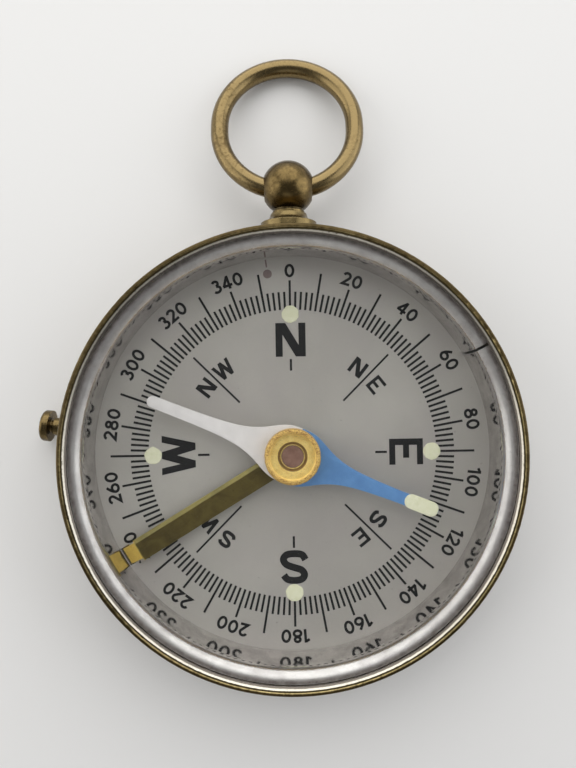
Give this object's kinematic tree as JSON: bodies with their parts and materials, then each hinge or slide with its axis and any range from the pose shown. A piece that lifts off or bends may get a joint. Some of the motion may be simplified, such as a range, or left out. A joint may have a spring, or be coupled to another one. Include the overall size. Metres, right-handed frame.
{
  "type": "military compass",
  "caption": "Round open-face pocket compass with a swinging bow ring, a jewelled needle and a side button that lifts the needle off its pivot.",
  "frame": {"origin": "centre of the flat back of the case", "axes": "+Z out of the dial through the glass; +Y towards the bow, which is the dial's north; +X is east"},
  "size_m": [0.0492, 0.0648, 0.01],
  "materials": {
    "case_brass": "aged and handled, dull with a dark patina and brighter worn edges",
    "bezel_brass": "aged, with a bright worn edge",
    "bow_brass": "aged, darker in the hollows",
    "ball_brass": "dark bronze patina",
    "button_brass": "aged, turned",
    "inner_brass": "turned, bright",
    "cap_brass": "bright gold colour with a rough turned rim",
    "lever_brass": "olive, brushed along its length",
    "dial_metal": "satin silver grey with black printed marks",
    "ring_metal": "polished, like a mirror on its inner wall",
    "crystal_glass": "clear and flat",
    "glow_paint": "matte pale green glowing paint",
    "needle_paint": "one half silver white and the other half blue",
    "jewel_stone": "polished brown red jewel",
    "pin_steel": "turned"
  },
  "bodies": {
    "case": {"case_cup": "case_brass", "dial_support_ring": "case_brass", "dial_plate": "dial_metal", "dial_lume_dots": "glow_paint", "spacer_ring": "ring_metal", "crystal": "crystal_glass", "bezel_ring": "bezel_brass", "pivot_post": "inner_brass", "pivot_pin": "pin_steel", "lever_bracket": "inner_brass", "lever_pin": "pin_steel", "button_bush": "inner_brass", "bow_post": "ball_brass", "post_collar": "case_brass"},
    "jewel": {"cap_jewel": "jewel_stone"},
    "needle": {"needle_plate": "needle_paint", "needle_cap": "cap_brass", "needle_washer": "inner_brass", "needle_lume_tip": "glow_paint"},
    "lever": {"arrest_lever": "lever_brass"},
    "button": {"button_head": "button_brass", "button_stem": "pin_steel", "stem_stop_collar": "inner_brass"},
    "bow": {"bow_ring": "bow_brass"}
  },
  "joints": [
    {"name": "button_push", "type": "slide", "parent": "case", "child": "button", "axis": [0.9925, -0.1219, 0], "range_m": [0, 0.0012]},
    {"name": "lever_lift", "type": "hinge", "parent": "case", "child": "lever", "pos_m": [-0.0167, -0.01003, 0.0019], "axis": [0.515, -0.8572, 0], "range_deg": [0, 3.19]},
    {"name": "needle_lift", "type": "slide", "parent": "case", "child": "jewel", "axis": [0, 0, 1], "range_m": [0, 0.0009]},
    {"name": "needle_spin", "type": "hinge", "parent": "jewel", "child": "needle", "pos_m": [0, 0, 0.00565], "axis": [0, 0, 1], "continuous": true},
    {"name": "bow_swing", "type": "hinge", "parent": "case", "child": "bow", "pos_m": [0, 0.0273, 0.0046], "axis": [1, 0, 0], "range_deg": [-115, 141]}
  ],
  "couplings": [
    {"joint": "lever_lift", "follows": "button_push", "rad_per_m": 46.243},
    {"joint": "needle_lift", "follows": "button_push", "ratio": 0.75}
  ]
}
